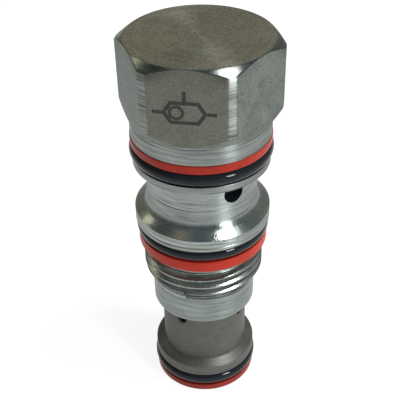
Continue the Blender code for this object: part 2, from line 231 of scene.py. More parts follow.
def skin(bm, rings, closed=False, finishes=None):
    """Faces between circles in turn, facing out where they run down an outer side.

    finishes gives each gap between circles a material number, or a function of the column that gives one.
    """
    pairs = list(zip(rings, rings[1:]))
    if closed:
        pairs.append((rings[-1], rings[0]))
    for gap, (upper, lower) in enumerate(pairs):
        sides = max(len(upper), len(lower))
        for i in range(sides):
            after = (i + 1) % sides
            if len(upper) == 1:
                face = bm.faces.new((upper[0], lower[i], lower[after]))
            elif len(lower) == 1:
                face = bm.faces.new((upper[i], lower[0], upper[after]))
            else:
                face = bm.faces.new((upper[i], lower[i], lower[after], upper[after]))
            if finishes:
                finish = finishes[gap]
                face.material_index = finish(i) if callable(finish) else finish


def finish_mesh(bm, name, sharp=40.0):
    for face in bm.faces:
        face.smooth = True
    mesh = bpy.data.meshes.new(name)
    bm.to_mesh(mesh)
    bm.free()
    mesh.set_sharp_from_angle(angle=math.radians(sharp))
    return mesh


def turned_mesh(name, outline, sides=RING_SIDES):
    """A closed ring-shaped piece: the outline runs down its outer side and back up its bore."""
    bm = bmesh.new()
    skin(bm, [add_ring(bm, r, z, sides) for r, z in outline], closed=True)
    return finish_mesh(bm, name)


def place(name, mesh, body, slot, finishes, *nodes):
    """Links a piece, gives it its materials and its body, and hides the CAD nodes it stands for. slot is not
    used.
    """
    piece = bpy.data.objects.new(name, mesh)
    bpy.context.scene.collection.objects.link(piece)
    for finish in finishes:
        mesh.materials.append(finish)
    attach(piece, body)
    if nodes:
        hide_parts(*nodes)
    return piece


def drill(mesh, height, diameter, angle, length=40.0, sides=48):
    """Cuts a level hole through the axis and gives back the cut mesh."""
    bm = bmesh.new()
    bmesh.ops.create_cone(bm, cap_ends=True, segments=sides, radius1=diameter / 2 * MM,
                          radius2=diameter / 2 * MM, depth=length * MM)
    bar_mesh = bpy.data.meshes.new("drill")
    bm.to_mesh(bar_mesh)
    bm.free()
    bar = bpy.data.objects.new("drill", bar_mesh)
    bar.location.z = height * MM
    bar.rotation_euler = (math.pi / 2.0, 0.0, math.radians(angle + 90.0))
    work = bpy.data.objects.new("work", mesh)
    for thing in (bar, work):
        bpy.context.scene.collection.objects.link(thing)
    boolean = work.modifiers.new("hole", "BOOLEAN")
    boolean.operation = "DIFFERENCE"
    boolean.solver = "EXACT"
    boolean.object = bar
    graph = bpy.context.evaluated_depsgraph_get()
    made = bpy.data.meshes.new_from_object(work.evaluated_get(graph))
    for thing in (bar, work):
        bpy.data.objects.remove(thing, do_unlink=True)
    return made


# ---------------------------------------------------------------- shapes

BODY_FINISHES = ("top", "chamfer", "marked_flat", "flat", "turned", "cone", "thread", "skirt", "neck",
                 "port", "land")
(TOP_FINISH, CHAMFER_FINISH, MARKED_FLAT_PAINTED_SHADE_FINISH, FLAT_FINISH, TURNED_FINISH, CONE_FINISH, THREAD_FINISH,
 SKIRT_FINISH, NECK_PAINTED_LIGHT_FINISH, PORT_FINISH, LAND_FINISH) = range(len(BODY_FINISHES))


def angle_to_flat(turn):
    """The angle from the middle of the nearest flat, -30 to 30."""
    return (turn - HEX_FLAT_ANGLE + 30.0) % 60.0 - 30.0


def milled_radius(turn):
    """How far out the hexagon reaches at an angle: as far as a flat, or as the round land of a corner."""
    return min(HEX_CORNER_RADIUS, HEX_HALF_FLATS / math.cos(math.radians(angle_to_flat(turn))))


def flat_or_land(column):
    """The finish of one column of the hexagon's side; the marked front flat takes a darker copy of the flat
    zinc, painted shade.
    """
    turn = 360.0 * (column + 0.5) / SIDES
    marked = abs(turn - MARKED_FLAT_ANGLE) < 30.0
    if abs(angle_to_flat(turn)) > 30.0 - LAND_HALF_ANGLE - (0.0 if marked else WORN_EDGE):
        return LAND_FINISH
    return MARKED_FLAT_PAINTED_SHADE_FINISH if marked else FLAT_FINISH


def chamfer_point(share):
    """Gives a function of angle: a point on the top chamfer, from the top face at 0 to the side at 1."""
    slope = TOP_CHAMFER / (HEX_CORNER_RADIUS - TOP_FACE_RADIUS)

    def point(turn):
        out = (milled_radius(turn) - TOP_FACE_RADIUS) * share
        return TOP_FACE_RADIUS + out, HEX_TOP - TOP_EDGE_DROP - out * slope
    return point


def undercut_point(share):
    """Gives a function of angle: a point on the hexagon's lower cone, from the stem at 0 to the side at 1."""
    slope = (UNDERCUT_TOP - UNDERCUT_BOTTOM) / (HEX_CORNER_RADIUS - STEM_RADIUS)

    def point(turn):
        out = (milled_radius(turn) - STEM_RADIUS) * share
        return STEM_RADIUS + out, UNDERCUT_BOTTOM + out * slope
    return point


def side_point(share):
    """Gives a function of angle: a point on the side, from its lower edge at 0 to its upper edge at 1."""
    upper, lower = chamfer_point(1.0), undercut_point(1.0)

    def point(turn):
        radius, top = upper(turn)
        bottom = lower(turn)[1] + EDGE
        return radius, bottom + (top - EDGE - bottom) * share
    return point


def head_rings(bm):
    """The hexagon from the centre of its top face down to the stem, and the finish of each gap."""
    rings = [add_ring(bm, 0.0, HEX_TOP, SIDES)]
    rings += [add_ring(bm, radius, HEX_TOP, SIDES) for radius in TOP_FACE_RINGS]
    rings.append(add_ring(bm, *TOP_EASED_RING, SIDES))
    finishes = [TOP_FINISH] * (len(rings) - 1)
    rings += [shaped_ring(bm, chamfer_point(share), SIDES) for share in (0.0, 0.25, 0.5, 0.75, 0.95)]
    finishes += [CHAMFER_FINISH] * 5
    rings += [shaped_ring(bm, side_point(share), SIDES) for share in (1.0, 0.8, 0.6, 0.4, 0.2, 0.0)]
    finishes += [CHAMFER_FINISH] + [flat_or_land] * 5
    rings += [shaped_ring(bm, undercut_point(share), SIDES) for share in (0.93, 0.6, 0.3, 0.1)]
    finishes += [TURNED_FINISH] * 4
    rings.append(add_ring(bm, STEM_RADIUS, UNDERCUT_BOTTOM - UNDERCUT_EASE, SIDES))
    finishes.append(TURNED_FINISH)
    return rings, finishes


def thread_radius(height, phase, turn):
    """Radius at this height, where phase is 0 at a root and 0.5 at a crest."""
    from_crest = abs(phase % 1.0 - 0.5) * 2.0
    share = min(1.0, max(0.0, (1.0 - from_crest - THREAD_ROOT_FLAT) / THREAD_FLANK))
    run_out = min(1.0, max(0.0, (THREAD_TOP - height) / (THREAD_RUN_OUT * THREAD_PITCH)))
    full = THREAD_ROOT_RADIUS + (THREAD_RADIUS - THREAD_ROOT_RADIUS) * share * run_out
    before_start = (THREAD_START - turn) % 360.0
    rise = RUN_IN_RISE * max(0.0, 1.0 - before_start / RUN_IN_TURN) if before_start > 0.0 else 0.0
    slope = math.tan(math.radians(THREAD_CHAMFER))
    lead_in = SKIRT_RADIUS + max(0.0, height - THREAD_BOTTOM - rise) * slope
    at_burr = abs(turn - THREAD_START) < BURR_HALF_ANGLE and THREAD_BOTTOM < height < BURR_TOP
    return min(full, lead_in) + (BURR_HEIGHT if at_burr else 0.0)


def add_thread(bm):
    """A right-hand helical surface between two flat circles. Returns its top and bottom circles."""
    points = {}
    front = 270.0 / 360.0
    crest = 0.5
    start = ((THREAD_CREST_AT_FRONT - THREAD_BOTTOM) / THREAD_PITCH - crest - front) % 1.0

    def point(column, row):
        rise = row / THREAD_ROWS + column / SIDES + start
        height = min(max(THREAD_BOTTOM + THREAD_PITCH * rise, THREAD_BOTTOM), THREAD_TOP)
        key = (column % SIDES, round(height, 6))
        if key not in points:
            turn = 360.0 * (column % SIDES) / SIDES
            radius = thread_radius(height, row / THREAD_ROWS, turn) * MM
            across = (math.cos(math.radians(turn)), math.sin(math.radians(turn)))
            points[key] = bm.verts.new((radius * across[0], radius * across[1], height * MM))
        return points[key]

    last_row = math.ceil((THREAD_TOP - THREAD_BOTTOM) / THREAD_PITCH * THREAD_ROWS)
    for column in range(SIDES):
        for row in range(-2 * THREAD_ROWS, last_row):
            corners = (point(column, row), point(column + 1, row),
                       point(column + 1, row + 1), point(column, row + 1))
            corners = tuple(dict.fromkeys(corners))
            if len(corners) > 2:
                bm.faces.new(corners).material_index = THREAD_FINISH
    return [[points[(i, round(height, 6))] for i in range(SIDES)] for height in (THREAD_TOP, THREAD_BOTTOM)]


def scored(radius, height, depth):
    """Corners of a fine line cut round a surface."""
    return [(radius, height + depth, 0.0), (radius - depth, height, 0.0), (radius, height - depth, 0.0)]


def fillet_points(steps=12):
    """The neck's fillet, from the neck's side towards the flange's edge."""
    points = []
    for step in range(steps + 1):
        turn = math.radians(NECK_FILLET_TURN * step / steps)
        points.append((NECK_RADIUS + NECK_FILLET_RADIUS * (1.0 - math.cos(turn)),
                       NECK_FILLET_TOP - NECK_FILLET_RADIUS * math.sin(turn), 0.0))
    return points


def body_outline_above():
    """From the stem down to the thread."""
    corners = scored(STEM_RADIUS, STEM_LINE, 0.05) + [
        (STEM_RADIUS, UPPER_GROOVE[1], 0.06),
        (UPPER_GROOVE_RADIUS, UPPER_GROOVE[1], 0.1), (UPPER_GROOVE_RADIUS, UPPER_GROOVE[0], 0.1),
        (UPPER_LAND_RADIUS, UPPER_GROOVE[0], 0.07), (UPPER_LAND_RADIUS, UPPER_LAND_BOTTOM, 0.08),
        (NECK_RADIUS, UPPER_LAND_BOTTOM, 0.2),
    ]
    corners += scored(NECK_RADIUS, NECK_LINE, 0.04)
    corners += fillet_points()
    corners.append((FLANGE_RADIUS, FLANGE_TOP, 0.08))
    for height, depth in FLANGE_LINES:
        corners += scored(FLANGE_RADIUS, height, depth)
    corners += [
        (FLANGE_RADIUS, MIDDLE_GROOVE[1], 0.07), (MIDDLE_GROOVE_RADIUS, MIDDLE_GROOVE[1], 0.1),
        (MIDDLE_GROOVE_RADIUS, MIDDLE_GROOVE[0], 0.1), (THREAD_RADIUS, MIDDLE_GROOVE[0], 0.06),
        (THREAD_RADIUS, THREAD_TOP + THREAD_LAND, 0.05), (THREAD_ROOT_RADIUS + 0.1, THREAD_TOP, 0.0),
    ]
    return rounded(corners, 5)[:-1]


def body_outline_below():
    """From the thread down the skirt and up the blind bore."""
    corners = [
        (SKIRT_RADIUS, THREAD_BOTTOM, 0.0), (SKIRT_RADIUS, SKIRT_BOTTOM + SKIRT_CHAMFER, 0.05),
        (SKIRT_RADIUS - SKIRT_CHAMFER, SKIRT_BOTTOM, 0.05), (BODY_BORE_RADIUS, SKIRT_BOTTOM, 0.08),
        (BODY_BORE_RADIUS, WIRE_GROOVE[0], 0.05), (WIRE_GROOVE_RADIUS, WIRE_GROOVE[0], 0.1),
        (WIRE_GROOVE_RADIUS, WIRE_GROOVE[1], 0.1), (BODY_BORE_RADIUS, WIRE_GROOVE[1], 0.05),
        (BODY_BORE_RADIUS, BODY_BORE_TOP, 0.1), (BODY_PASSAGE_RADIUS, BODY_BORE_TOP, 0.1),
        (BODY_PASSAGE_RADIUS, BODY_PASSAGE_TOP, 0.05), (0.0, BODY_PASSAGE_TOP + 1.7, 0.0),
    ]
    return rounded(corners, 3)[1:]


def body_mesh(finishes):
    """The whole body in one skin, its gaps sorted by finish, with the upper side port drilled through."""
    bm = bmesh.new()
    rings, gaps = head_rings(bm)
    above = subdivided(body_outline_above(), 0.8)
    rings += [add_ring(bm, r, z, SIDES) for r, z in above]
    # The neck and the flange's side take a lighter copy of the turned zinc: painted light against the shade
    # of the head above.
    for radius, height in above:
        if FLANGE_TOP - 0.1 < height < NECK_FILLET_TOP - 0.5 and radius > NECK_RADIUS:
            gaps.append(CONE_FINISH)
        else:
            gaps.append(NECK_PAINTED_LIGHT_FINISH if MIDDLE_GROOVE[1] < height < UPPER_LAND_BOTTOM else TURNED_FINISH)
    thread_top, thread_bottom = add_thread(bm)
    skin(bm, rings + [thread_top], finishes=gaps + [TURNED_FINISH])
    below = subdivided(body_outline_below(), 1.5)
    lower_rings = [add_ring(bm, r, z, SIDES) for r, z in below]
    skin(bm, [thread_bottom] + lower_rings, finishes=[SKIRT_FINISH] * len(below))
    mesh = finish_mesh(bm, "hex_body_detail", 42.0)
    for finish in finishes:
        mesh.materials.append(finish)
    mesh = drill(mesh, *UPPER_PORT)
    paint_port(mesh, *UPPER_PORT)
    return mesh


def paint_port(mesh, height, diameter, angle):
    """Gives the wall of a drilled hole its own rougher finish, with a darker colour that paints the shade
    inside the hole.
    """
    along = Vector((math.cos(math.radians(angle)), math.sin(math.radians(angle)), 0.0))
    for face in mesh.polygons:
        offset = face.center - Vector((0.0, 0.0, height * MM))
        offset -= along * offset.dot(along)
        if offset.length < diameter / 2.0 * MM * 1.001 and face.normal.dot(offset) < -0.5 * offset.length:
            face.material_index = PORT_FINISH


def sleeve_outline():
    """Down the outside of the nose sleeve and back up its bore."""
    low_ring = (low("lower_seat_retaining_ring") - 0.1, high("lower_seat_retaining_ring") + 0.1)
    top_ring = (low("upper_seat_retaining_ring") - 0.1, high("upper_seat_retaining_ring") + 0.1)
    corners = [
        (SEAT_BORE_RADIUS, SLEEVE_TOP, 0.1), (SLEEVE_RADIUS - 0.4, SLEEVE_TOP, 0.05),
        (SLEEVE_RADIUS, SLEEVE_TOP - 0.4, 0.1), (SLEEVE_RADIUS, SLEEVE_SEAL_GROOVE[1], 0.08),
        (SLEEVE_SEAL_GROOVE_RADIUS, SLEEVE_SEAL_GROOVE[1], 0.1),
        (SLEEVE_SEAL_GROOVE_RADIUS, SLEEVE_SEAL_GROOVE[0], 0.1), (SLEEVE_RADIUS, SLEEVE_SEAL_GROOVE[0], 0.08),
        (SLEEVE_RADIUS, WIRE_GROOVE[1], 0.08), (SLEEVE_WIRE_GROOVE_RADIUS, WIRE_GROOVE[1], 0.2),
        (SLEEVE_WIRE_GROOVE_RADIUS, WIRE_GROOVE[0], 0.2), (SLEEVE_RADIUS, WIRE_GROOVE[0], 0.08),
        (SLEEVE_RADIUS, SLEEVE_SHOULDER + 0.05, 0.06), (SLEEVE_RADIUS + 0.15, SLEEVE_SHOULDER + 0.03, 0.03),
        (NOSE_FLANGE_RADIUS, NOSE_FLANGE[1], 0.22), (NOSE_FLANGE_RADIUS, NOSE_FLANGE[0], 0.07),
        (NOSE_GROOVE_RADIUS, NOSE_FLANGE[0], 0.1), (NOSE_GROOVE_RADIUS, NOSE_LIP, 0.1),
        (NOSE_LIP_RADIUS, NOSE_LIP, 0.08), (NOSE_LIP_RADIUS, 0.0, 0.15), (NOSE_MOUTH_RADIUS, 0.0, 0.1),
        (SEAT_BORE_RADIUS, 0.4, 0.1), (SEAT_BORE_RADIUS, low_ring[0], 0.03),
        (RING_GROOVE_RADIUS, low_ring[0], 0.05), (RING_GROOVE_RADIUS, low_ring[1], 0.05),
        (SEAT_BORE_RADIUS, low_ring[1], 0.03), (SEAT_BORE_RADIUS, CHAMBER[0], 0.05),
        (CHAMBER_RADIUS, CHAMBER[0], 0.05), (CHAMBER_RADIUS, CHAMBER[1], 0.05),
        (SEAT_BORE_RADIUS, CHAMBER[1], 0.05), (SEAT_BORE_RADIUS, top_ring[0], 0.03),
        (RING_GROOVE_RADIUS, top_ring[0], 0.05), (RING_GROOVE_RADIUS, top_ring[1], 0.05),
        (SEAT_BORE_RADIUS, top_ring[1], 0.03),
    ]
    outline = rounded(corners, 4)
    return subdivided(outline + outline[:1], 0.6)[:-1]


def sleeve_mesh():
    mesh = turned_mesh("nose_sleeve_detail", sleeve_outline(), SIDES)
    for port in LOWER_PORTS:
        mesh = drill(mesh, *port)
    return mesh


def o_ring_mesh(node, groove_radius, points=40):
    """A round section between the groove's floor and the CAD ring's outside, a little flattened."""
    outer = outer_radius(node)
    centre = (groove_radius + outer) / 2.0
    reach = (outer - groove_radius) / 2.0
    middle = (low(node) + high(node)) / 2.0
    half = (high(node) - low(node)) / 2.0
    outline = []
    for i in range(points):
        turn = 2.0 * math.pi * i / points
        across, along = math.sin(turn), math.cos(turn)
        outline.append((centre + reach * across, middle + half * along))
    return turned_mesh(f"{node}_detail", outline)


def backup_ring_mesh(node, groove_radius):
    """A flat-sided ring with eased outer edges."""
    outer, top, bottom = outer_radius(node), high(node), low(node)
    inner = groove_radius + 0.05
    corners = [(inner, top, 0.05), (outer, top, 0.16), (outer, bottom, 0.16), (inner, bottom, 0.05)]
    return turned_mesh(f"{node}_detail", rounded(corners, 5))


def seat_mesh(node, seal):
    """A seat with a seal groove; its bore is chamfered at the end that faces the ball."""
    outer, top, bottom = outer_radius(node), high(node), low(node)
    middle = (low(seal) + high(seal)) / 2.0
    groove = (middle - SEAT_GROOVE_WIDTH / 2.0, middle + SEAT_GROOVE_WIDTH / 2.0)
    side = [
        (outer, top, 0.15), (outer, groove[1], 0.06), (SEAT_GROOVE_RADIUS, groove[1], 0.08),
        (SEAT_GROOVE_RADIUS, groove[0], 0.08), (outer, groove[0], 0.06), (outer, bottom, 0.15),
    ]
    wide = SEAT_HOLE_RADIUS + SEAT_EDGE
    if middle > (top + bottom) / 2.0:
        corners = [(wide, top, 0.04)] + side + [(SEAT_HOLE_RADIUS, bottom, 0.1),
                                                (SEAT_HOLE_RADIUS, top - SEAT_EDGE, 0.04)]
    else:
        corners = [(SEAT_HOLE_RADIUS, top, 0.1)] + side + [(wide, bottom, 0.04),
                                                           (SEAT_HOLE_RADIUS, bottom + SEAT_EDGE, 0.04)]
    return turned_mesh(f"{node}_detail", rounded(corners, 4))


def round_section(centre_radius, height, radius, points):
    turns = [2.0 * math.pi * i / points for i in range(points)]
    return [(centre_radius + radius * math.sin(t), height + radius * math.cos(t)) for t in turns]


def split_ring_mesh(name, section, opening, sides=RING_SIDES):
    """An open ring of the given section, with flat ends on both sides of an opening at +X, in degrees."""
    bm = bmesh.new()
    stations = []
    for i in range(sides + 1):
        turn = math.radians(opening / 2.0 + (360.0 - opening) * i / sides)
        spots = [(r * MM * math.cos(turn), r * MM * math.sin(turn), z * MM) for r, z in section]
        stations.append([bm.verts.new(co) for co in spots])
    count = len(section)
    for before, after in zip(stations, stations[1:]):
        for j in range(count):
            k = (j + 1) % count
            bm.faces.new((before[j], before[k], after[k], after[j]))
    bm.faces.new(stations[0][::-1])
    bm.faces.new(stations[-1])
    return finish_mesh(bm, name)


def seat_ring_mesh(node):
    outer = RING_GROOVE_RADIUS - 0.1
    corners = [(SEAT_RING_INNER_RADIUS, high(node), 0.08), (outer, high(node), 0.08),
               (outer, low(node), 0.08), (SEAT_RING_INNER_RADIUS, low(node), 0.08)]
    return split_ring_mesh(f"{node}_detail", rounded(corners, 4), SEAT_RING_OPENING)


def ball_mesh(node):
    radius = (high(node) - low(node)) / 2.0
    centre = low(node) + radius
    outline = [(0.0, centre + radius)]
    for i in range(1, BALL_ROWS):
        turn = math.pi * i / BALL_ROWS
        outline.append((radius * math.sin(turn), centre + radius * math.cos(turn)))
    outline.append((0.0, centre - radius))
    bm = bmesh.new()
    skin(bm, [add_ring(bm, r, z, BALL_SIDES) for r, z in outline])
    return finish_mesh(bm, f"{node}_detail")


def add_ribbon(bm, points, closed, width=SYMBOL_LINE):
    """A thin plate that follows points (across, up) on the front flat, with mitred corners."""
    turn = math.radians(MARKED_FLAT_ANGLE)
    out = Vector((math.cos(turn), math.sin(turn), 0.0))
    across = Vector((-math.sin(turn), math.cos(turn), 0.0))
    count = len(points)
    edges = []
    for i, here in enumerate(points):
        before = points[i - 1] if closed or i > 0 else None
        after = points[(i + 1) % count] if closed or i < count - 1 else None
        runs = [(Vector(here) - Vector(before)).normalized()] if before else []
        runs += [(Vector(after) - Vector(here)).normalized()] if after else []
        mean = sum(runs, Vector((0.0, 0.0))).normalized()
        side = Vector((-mean.y, mean.x)) * (width / 2.0 / mean.dot(runs[0]))
        for sign in (1.0, -1.0):
            spot = Vector(here) + side * sign + Vector(SYMBOL_CENTRE)
            for depth in (HEX_HALF_FLATS + SYMBOL_PROUD, HEX_HALF_FLATS - SYMBOL_PROUD):
                edges.append(bm.verts.new((across * spot.x + out * depth + Vector((0.0, 0.0, spot.y))) * MM))
    stations = [edges[4 * i:4 * i + 4] for i in range(count)]
    pairs = list(zip(stations, stations[1:])) + ([(stations[-1], stations[0])] if closed else [])
    for (a, b, c, d), (e, f, g, h) in pairs:
        for quad in ((a, c, g, e), (b, f, h, d), (a, e, f, b), (c, d, h, g)):
            bm.faces.new(quad)
    if not closed:
        a, b, c, d = stations[0]
        bm.faces.new((a, b, d, c))
        a, b, c, d = stations[-1]
        bm.faces.new((a, c, d, b))


def symbol_mesh():
    """The general sign for a shuttle valve: a ball between two seats, with a line to each of three ports."""
    bm = bmesh.new()
    add_ribbon(bm, [(-2.9, 0.0), (-1.9, 1.5), (1.9, 1.5), (2.9, 0.0), (1.9, -1.5), (-1.9, -1.5)], True)
    turns = [2.0 * math.pi * i / 32 for i in range(32)]
    add_ribbon(bm, [(-1.15 + 0.92 * math.cos(t), 0.92 * math.sin(t)) for t in turns], True, 0.45)
    add_ribbon(bm, [(-4.5, 0.0), (-3.2, 0.0)], False)
    add_ribbon(bm, [(3.2, 0.0), (4.5, 0.0)], False)
    add_ribbon(bm, [(0.0, 1.75), (0.0, 3.3)], False)
    bmesh.ops.recalc_face_normals(bm, faces=bm.faces)
    mesh = bpy.data.meshes.new("flow_symbol")
    bm.to_mesh(mesh)
    bm.free()
    return mesh


# ---------------------------------------------------------------- materials

def new_material(name, colour, roughness, metallic=1.0, **constants):
    """A Principled material, its node tree and its shader; constants are set on the shader's sockets."""
    made = bpy.data.materials.new(name)
    made.use_nodes = True
    tree = made.node_tree
    shader = tree.nodes["Principled BSDF"]
    shader.inputs["Base Color"].default_value = (*colour, 1.0)
    shader.inputs["Roughness"].default_value = roughness
    shader.inputs["Metallic"].default_value = metallic
    for key, value in constants.items():
        shader.inputs[key.replace("_", " ")].default_value = value
    return made, tree, shader


def node(tree, kind, inputs=(), **settings):
    """One node, its settings, and its inputs by index or name: a socket is linked, a value is set."""
    made = tree.nodes.new(kind)
    for key, value in settings.items():
        setattr(made, key, value)
    for key, value in dict(inputs).items():
        if isinstance(value, bpy.types.NodeSocket):
            tree.links.new(value, made.inputs[key])
        else:
            made.inputs[key].default_value = value
    return made


def math_node(tree, operation, first, second=0.0):
    return node(tree, "ShaderNodeMath", {0: first, 1: second}, operation=operation).outputs[0]


def lathe_coordinates(tree, around=0.0004):
    """Changes fast along the radius and the axis, across a lathe's marks, and slowly round the axis."""
    position = node(tree, "ShaderNodeTexCoord").outputs["Object"]
    x, y, z = node(tree, "ShaderNodeSeparateXYZ", {0: position}).outputs
    square = math_node(tree, "ADD", math_node(tree, "MULTIPLY", x, x), math_node(tree, "MULTIPLY", y, y))
    radius = math_node(tree, "SQRT", square)
    cross = math_node(tree, "ADD", radius, z)
    cosine = math_node(tree, "MULTIPLY", math_node(tree, "DIVIDE", x, radius), around)
    sine = math_node(tree, "MULTIPLY", math_node(tree, "DIVIDE", y, radius), around)
    return node(tree, "ShaderNodeCombineXYZ", {0: cross, 1: cosine, 2: sine}).outputs[0]


def noise(tree, vector, scale, detail=3.0, roughness=0.55):
    return node(tree, "ShaderNodeTexNoise", {"Vector": vector, "Scale": scale, "Detail": detail,
                                             "Roughness": roughness}).outputs["Fac"]


def ramp(tree, value, low_end, high_end, first, last):
    """Maps value from low_end..high_end to first..last, held at both ends."""
    return node(tree, "ShaderNodeMapRange", {"Value": value, "From Min": low_end, "From Max": high_end,
                                             "To Min": first, "To Max": last}).outputs[0]


def blend_colours(tree, share, first, second):
    made = node(tree, "ShaderNodeMix", data_type="RGBA")
    tree.links.new(share, made.inputs["Factor"])
    for key, colour in ((6, first), (7, second)):
        if isinstance(colour, bpy.types.NodeSocket):
            tree.links.new(colour, made.inputs[key])
        else:
            made.inputs[key].default_value = (*colour, 1.0)
    return made.outputs[2]


def add_bump(tree, shader, heights):
    """Chains bumps, each (height socket, strength, depth in millimetres)."""
    normal = None
    for height, strength, depth in heights:
        bump = node(tree, "ShaderNodeBump", {"Height": height, "Strength": strength, "Distance": depth * MM})
        if normal is not None:
            tree.links.new(normal, bump.inputs["Normal"])
        normal = bump.outputs[0]
    tree.links.new(normal, shader.inputs["Normal"])


def weighted(tree, parts):
    """The sum of values times weights."""
    total = None
    for value, weight in parts:
        part = math_node(tree, "MULTIPLY", value, weight)
        total = part if total is None else math_node(tree, "ADD", total, part)
    return total


def worked_metal(name, light, dark, roughness, marks, grain, clouds, anisotropy=0.0, relief=0.5, spread=0.06,
                 specks=0.0, metallic=1.0, tool_lines=0.0, edge=1.0):
    """Machined metal.

    marks, grain and clouds weigh the lathe's lines, the sandy grain and the patchy tone. specks and
    tool_lines add dark pits and dark lines. relief scales the bumps, spread is how far the roughness
    varies, and edge dims the glancing reflections.
    """
    made, tree, shader = new_material(name, light, roughness, metallic, Anisotropic=anisotropy,
                                      Anisotropic_Rotation=0.25, Specular_Tint=(edge, edge, edge, 1.0))
    lines = lathe_coordinates(tree)
    position = node(tree, "ShaderNodeTexCoord").outputs["Object"]
    fine = noise(tree, lines, 4400.0, 2.0)
    broad = noise(tree, lines, 1700.0, 3.0)
    sand = noise(tree, position, 3600.0, 3.0, 0.65)
    patches = noise(tree, position, 300.0, 4.0)
    tone = weighted(tree, [(fine, marks * 0.75), (broad, marks * 0.25), (sand, grain), (patches, clouds)])
    total = (marks + grain + clouds) / 2.0
    colour = blend_colours(tree, ramp(tree, tone, total - 0.1, total + 0.1, 0.0, 1.0), dark, light)
    if specks:
        pits = ramp(tree, noise(tree, position, 2300.0, 2.0), 0.64, 0.70, 0.0, specks)
        colour = blend_colours(tree, pits, colour, tuple(0.35 * value for value in dark))
    if tool_lines:
        thin = ramp(tree, noise(tree, lines, 2600.0, 1.0), 0.60, 0.66, 0.0, tool_lines)
        colour = blend_colours(tree, thin, colour, tuple(0.3 * value for value in dark))
    tree.links.new(colour, shader.inputs["Base Color"])
    rough = ramp(tree, patches, 0.3, 0.7, roughness - spread, roughness + spread)
    tree.links.new(rough, shader.inputs["Roughness"])
    add_bump(tree, shader, [(fine, relief * marks, 0.015), (broad, relief * marks, 0.012),
                            (sand, relief * grain, 0.02)])
    if anisotropy:
        tangent = node(tree, "ShaderNodeTangent", direction_type="RADIAL", axis="Z").outputs[0]
        tree.links.new(tangent, shader.inputs["Tangent"])
    return made


def etched(name):
    """Dark oxide left by a laser on the metal."""
    made, tree, shader = new_material(name, (0.022, 0.022, 0.019), 0.55, 0.3)
    grain = noise(tree, node(tree, "ShaderNodeTexCoord").outputs["Object"], 4200.0, 3.0, 0.65)
    colour = blend_colours(tree, ramp(tree, grain, 0.35, 0.65, 0.0, 1.0),
                           (0.014, 0.014, 0.012), (0.036, 0.036, 0.031))
    tree.links.new(colour, shader.inputs["Base Color"])
    return made


def rubber(name):
    """Smooth moulded nitrile rubber with a little dust."""
    made, tree, shader = new_material(name, (0.0105, 0.0125, 0.0160), 0.08, 0.0, Specular_IOR_Level=0.16)
    position = node(tree, "ShaderNodeTexCoord").outputs["Object"]
    clouds = noise(tree, position, 500.0, 4.0)
    dust = noise(tree, position, 2600.0, 2.0)
    base = blend_colours(tree, ramp(tree, clouds, 0.35, 0.65, 0.0, 1.0),
                         (0.0092, 0.0112, 0.0145), (0.0118, 0.0138, 0.0172))
    speck = ramp(tree, dust, 0.72, 0.80, 0.0, 0.3)
    tree.links.new(blend_colours(tree, speck, base, (0.08, 0.08, 0.08)), shader.inputs["Base Color"])
    tree.links.new(ramp(tree, clouds, 0.3, 0.7, 0.05, 0.11), shader.inputs["Roughness"])
    add_bump(tree, shader, [(dust, 0.12, 0.02)])
    return made


def red_plastic(name, shade):
    """Red backup-ring plastic with faint cutting marks round it; shade scales its brightness, and a shade
    under 1 gives a darker copy that paints shade on the ring.
    """
    light = (0.42 * shade, 0.023 * shade, 0.0085 * shade)
    dark = (0.34 * shade, 0.018 * shade, 0.0055 * shade)
    made, tree, shader = new_material(name, light, 0.42, 0.0, Specular_IOR_Level=0.2)
    marks = noise(tree, lathe_coordinates(tree), 5000.0, 2.0)
    position = node(tree, "ShaderNodeTexCoord").outputs["Object"]
    clouds = noise(tree, position, 330.0, 3.0)
    base = blend_colours(tree, ramp(tree, clouds, 0.35, 0.65, 0.0, 1.0), dark, light)
    tree.links.new(base, shader.inputs["Base Color"])
    tree.links.new(ramp(tree, marks, 0.3, 0.7, 0.34, 0.48), shader.inputs["Roughness"])
    add_bump(tree, shader, [(marks, 0.3, 0.012)])
    return made


